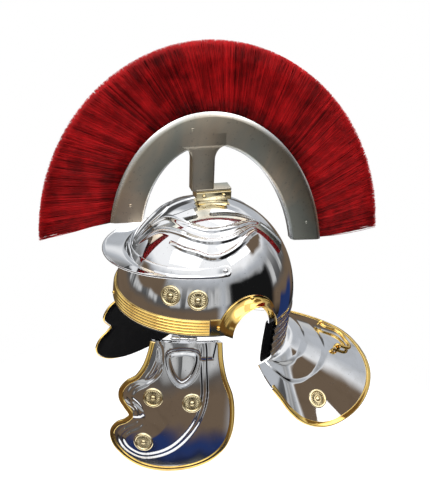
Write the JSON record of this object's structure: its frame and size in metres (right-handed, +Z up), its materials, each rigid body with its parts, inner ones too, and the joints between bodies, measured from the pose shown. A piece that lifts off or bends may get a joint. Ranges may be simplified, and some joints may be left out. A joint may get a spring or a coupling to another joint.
{
  "type": "roman officer's crested helmet with hinged cheek guards",
  "caption": "Polished steel helmet with ribbed nape, flared neck guard, brass trims, hinged cheek guards, a carrying handle and a fore-and-aft crest of red hair.",
  "frame": {"origin": "the highest point inside the bowl, where the crown of a head carries the helmet", "axes": "+Z up, -Y the way the face looks, +X to the wearer's left"},
  "size_m": [0.2758, 0.4376, 0.4904],
  "materials": {
    "polished_steel": "mirror polished plain steel",
    "satin_steel": "satin steel with polished bevels",
    "brass": "polished brass, darker in the recesses",
    "horsehair": "dyed crimson horsehair, combed and trimmed",
    "black_lining": "matte black lining"
  },
  "bodies": {
    "helmet": {"bowl": "polished_steel", "nape_lining": "black_lining", "neck_trim": "brass", "brow_band": "brass", "brow_guard": "polished_steel", "ear_guard_left": "brass", "ear_guard_right": "brass", "bowl_rosette_left_1": "brass", "bowl_rosette_right_1": "brass", "bowl_rosette_left_2": "brass", "bowl_rosette_right_2": "brass", "neck_rosette_left": "brass", "neck_rosette_right": "brass", "crest_box": "satin_steel", "crest_fixture": "brass", "plume": "horsehair", "cheek_hinge_left": "polished_steel", "cheek_pin_left": "polished_steel", "cheek_hinge_right": "polished_steel", "cheek_pin_right": "polished_steel", "handle_staple_left": "brass", "handle_staple_right": "brass"},
    "cheek_left": {"cheek_guard_left": "polished_steel", "cheek_trim_left": "brass", "cheek_lining_left": "black_lining", "cheek_rosette_left_1": "brass", "cheek_rosette_left_2": "brass", "cheek_rosette_left_3": "brass"},
    "cheek_right": {"cheek_guard_right": "polished_steel", "cheek_trim_right": "brass", "cheek_lining_right": "black_lining", "cheek_rosette_right_1": "brass", "cheek_rosette_right_2": "brass", "cheek_rosette_right_3": "brass"},
    "handle": {"carrying_handle": "brass"}
  },
  "joints": [
    {"name": "cheek_hinge_left_swing", "type": "hinge", "parent": "helmet", "child": "cheek_left", "pos_m": [0.09144, -0.048, -0.1301], "axis": [-0.2588, -0.9659, 0], "range_deg": [0, 100]},
    {"name": "cheek_hinge_right_swing", "type": "hinge", "parent": "helmet", "child": "cheek_right", "pos_m": [-0.09144, -0.048, -0.1301], "axis": [-0.2588, 0.9659, 0], "range_deg": [0, 100]},
    {"name": "handle_swing", "type": "hinge", "parent": "helmet", "child": "handle", "pos_m": [0, 0.185, -0.22417], "axis": [1, 0, 0], "range_deg": [0, 110]}
  ]
}
